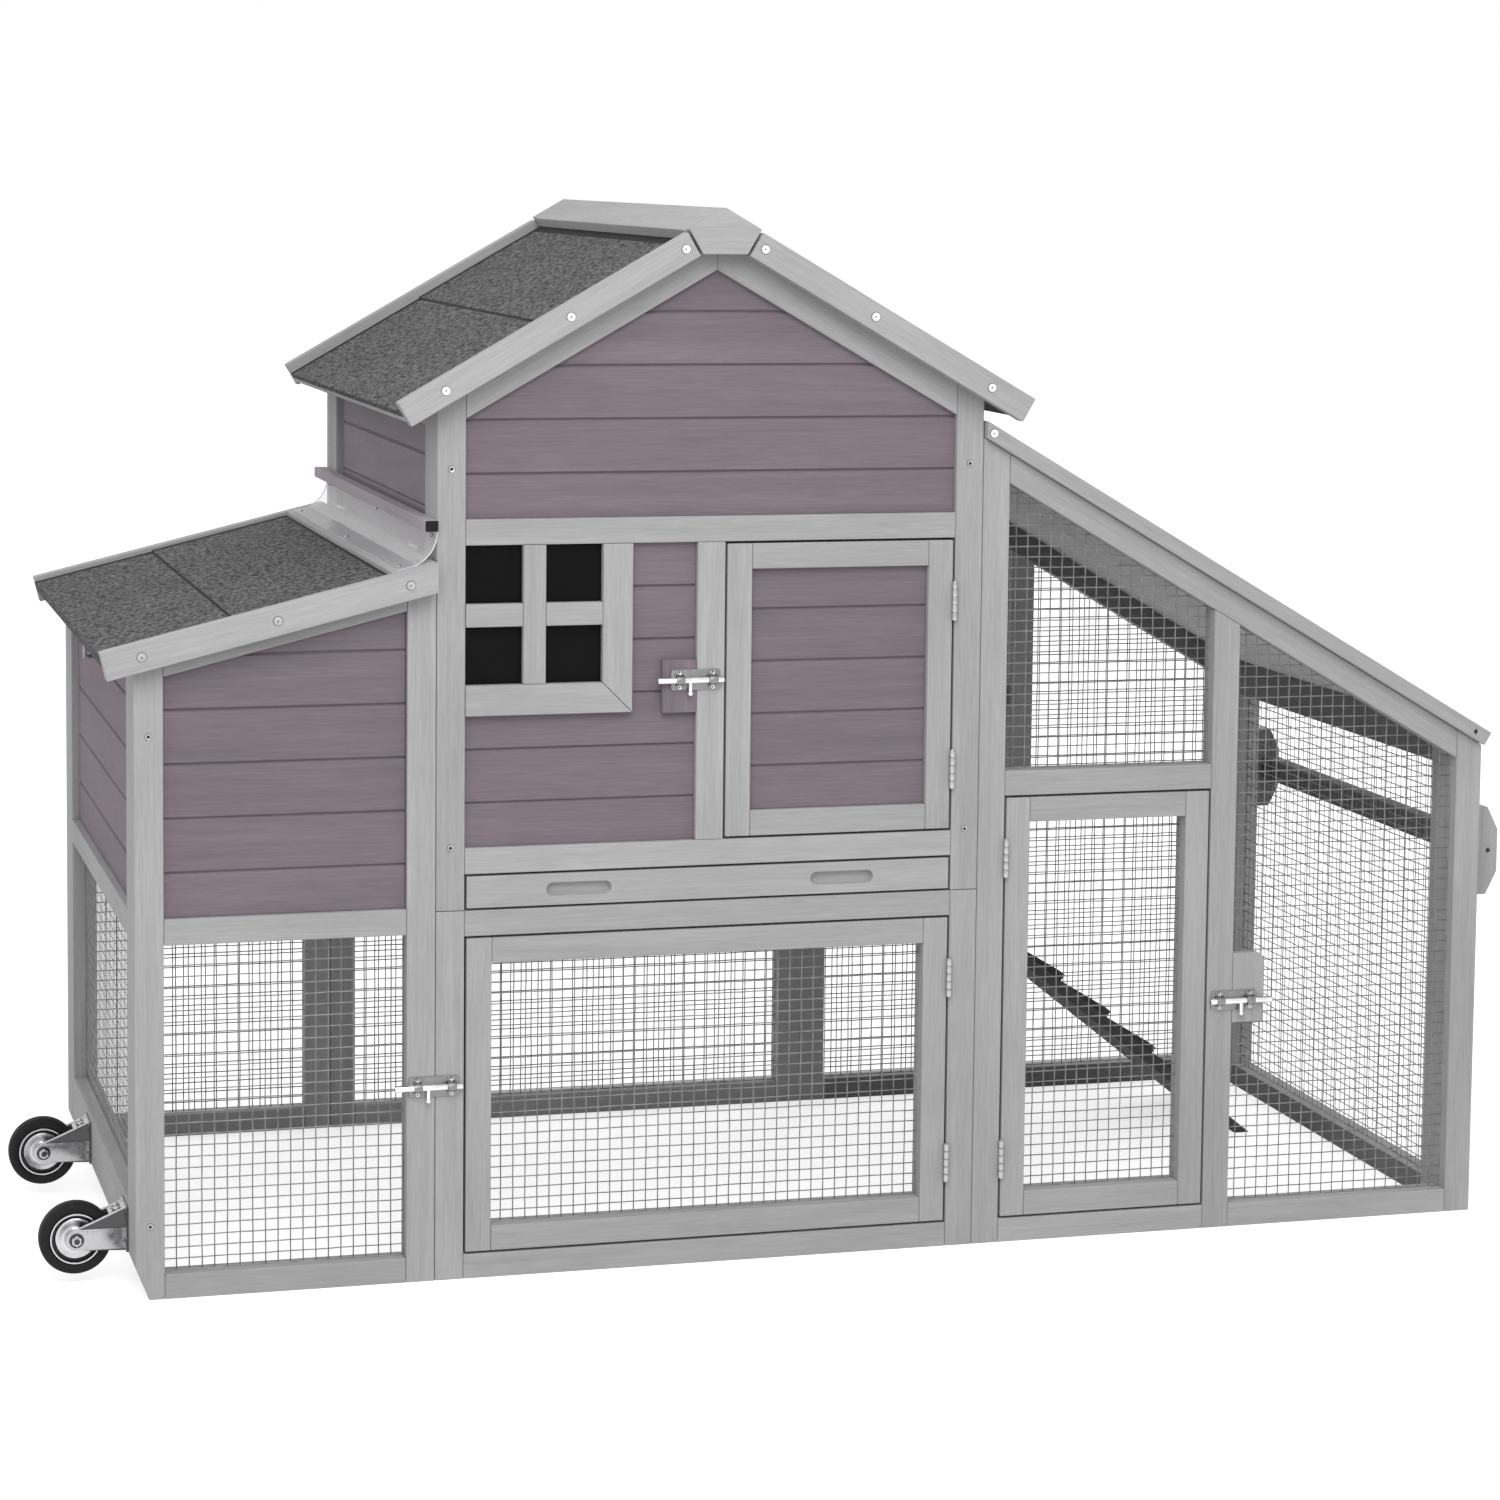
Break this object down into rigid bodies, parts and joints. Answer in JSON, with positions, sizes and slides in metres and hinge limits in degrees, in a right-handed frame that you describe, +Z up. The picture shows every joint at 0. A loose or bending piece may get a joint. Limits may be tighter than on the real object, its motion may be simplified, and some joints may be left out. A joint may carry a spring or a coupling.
{
  "type": "chicken coop",
  "caption": "Wooden chicken coop with a gabled house, hinged nest-box wing, lean-to mesh run, pull-out tray, casters and a lifting bar.",
  "frame": {"origin": "centre of the bounding box, on the ground", "axes": "+Z up, -Y towards the front with the doors, +X towards the run"},
  "size_m": [1.628, 0.754, 1.125],
  "materials": {
    "light_timber": "satin paint",
    "mauve_timber": "satin paint",
    "inner_timber": "thin wash",
    "roof_felt": "mineral granules",
    "wire": "galvanised",
    "zinc": "bright zinc plate",
    "black_pane": "gloss",
    "clear_strip": "clear",
    "tray_sheet": "galvanised",
    "rubber": "matte"
  },
  "bodies": {
    "coop": {"nest_front_frame": "light_timber", "nest_back_frame": "light_timber", "nest_end_frame": "light_timber", "nest_boards": "mauve_timber", "nest_mesh": "wire", "nest_floor": "inner_timber", "nest_partition": "inner_timber", "flashing_batten": "mauve_timber", "flashing": "clear_strip", "house_front_frame": "light_timber", "house_front_boards": "mauve_timber", "window_frame": "light_timber", "window_pane": "black_pane", "house_lower_frame": "light_timber", "house_back_frame": "light_timber", "house_back_boards": "mauve_timber", "house_back_mesh": "wire", "house_side_frames": "light_timber", "house_side_boards": "mauve_timber", "tray_runners": "inner_timber", "perch": "inner_timber", "roof_boards": "light_timber", "roof_felts": "roof_felt", "roof_edge_boards": "light_timber", "ridge_cap": "light_timber", "ridge_end_plates": "light_timber", "run_front_frame": "light_timber", "run_back_frame": "light_timber", "run_end_frame": "light_timber", "run_mesh": "wire", "ramp": "inner_timber", "handle_plates": "light_timber", "handle_bar": "light_timber", "hinge_leaves": "zinc", "latch_plates": "zinc", "bolt_pads": "light_timber", "caster_forks": "zinc"},
    "upper_door": {"upper_door_frame": "light_timber", "upper_door_boards": "mauve_timber", "upper_door_leaves": "zinc"},
    "lower_door": {"lower_door_frame": "light_timber", "lower_door_mesh": "wire", "lower_door_leaves": "zinc"},
    "run_door": {"run_door_frame": "light_timber", "run_door_mesh": "wire", "run_door_leaves": "zinc"},
    "tray": {"tray_front": "light_timber", "tray_pan": "tray_sheet"},
    "nest_lid": {"nest_lid_boards": "inner_timber", "nest_lid_felt": "roof_felt", "nest_lid_trim": "light_timber", "lid_hardware": "zinc"},
    "hook": {"lid_hook": "zinc"},
    "upper_bolt_body": {"upper_bolt": "zinc"},
    "lower_bolt_body": {"lower_bolt": "zinc"},
    "run_bolt_body": {"run_bolt": "zinc"},
    "front_wheel": {"front_tyre": "rubber", "front_rim": "zinc"},
    "back_wheel": {"back_tyre": "rubber", "back_rim": "zinc"}
  },
  "joints": [
    {"name": "upper_door_hinge", "type": "hinge", "parent": "coop", "child": "upper_door", "pos_m": [0.15115, -0.3485, 0.616], "axis": [0, 0, 1], "range_deg": [0, 95]},
    {"name": "lower_door_hinge", "type": "hinge", "parent": "coop", "child": "lower_door", "pos_m": [0.15115, -0.3485, 0.1955], "axis": [0, 0, 1], "range_deg": [0, 95]},
    {"name": "run_door_hinge", "type": "hinge", "parent": "coop", "child": "run_door", "pos_m": [0.21425, -0.3485, 0.2595], "axis": [0, 0, -1], "range_deg": [0, 95]},
    {"name": "tray_slide", "type": "slide", "parent": "coop", "child": "tray", "axis": [0, -1, 0], "range_m": [0, 0.55]},
    {"name": "nest_lid_hinge", "type": "hinge", "parent": "coop", "child": "nest_lid", "pos_m": [-0.41225, 0, 0.76301], "axis": [0, 1, 0], "range_deg": [0, 80], "deforming": ["flashing"]},
    {"name": "hook_swing", "type": "hinge", "parent": "nest_lid", "child": "hook", "pos_m": [-0.736, 0, 0.65682], "axis": [0, 1, 0], "range_deg": [0, 80]},
    {"name": "upper_bolt_slide", "type": "slide", "parent": "coop", "child": "upper_bolt_body", "axis": [1, 0, 0], "range_m": [0, 0.014]},
    {"name": "lower_bolt_slide", "type": "slide", "parent": "coop", "child": "lower_bolt_body", "axis": [1, 0, 0], "range_m": [0, 0.014]},
    {"name": "run_bolt_slide", "type": "slide", "parent": "coop", "child": "run_bolt_body", "axis": [-1, 0, 0], "range_m": [0, 0.014]},
    {"name": "front_wheel_spin", "type": "hinge", "parent": "coop", "child": "front_wheel", "pos_m": [-0.776, -0.26, 0.048], "axis": [0, 1, 0], "continuous": true},
    {"name": "back_wheel_spin", "type": "hinge", "parent": "coop", "child": "back_wheel", "pos_m": [-0.776, 0.105, 0.048], "axis": [0, 1, 0], "continuous": true}
  ]
}
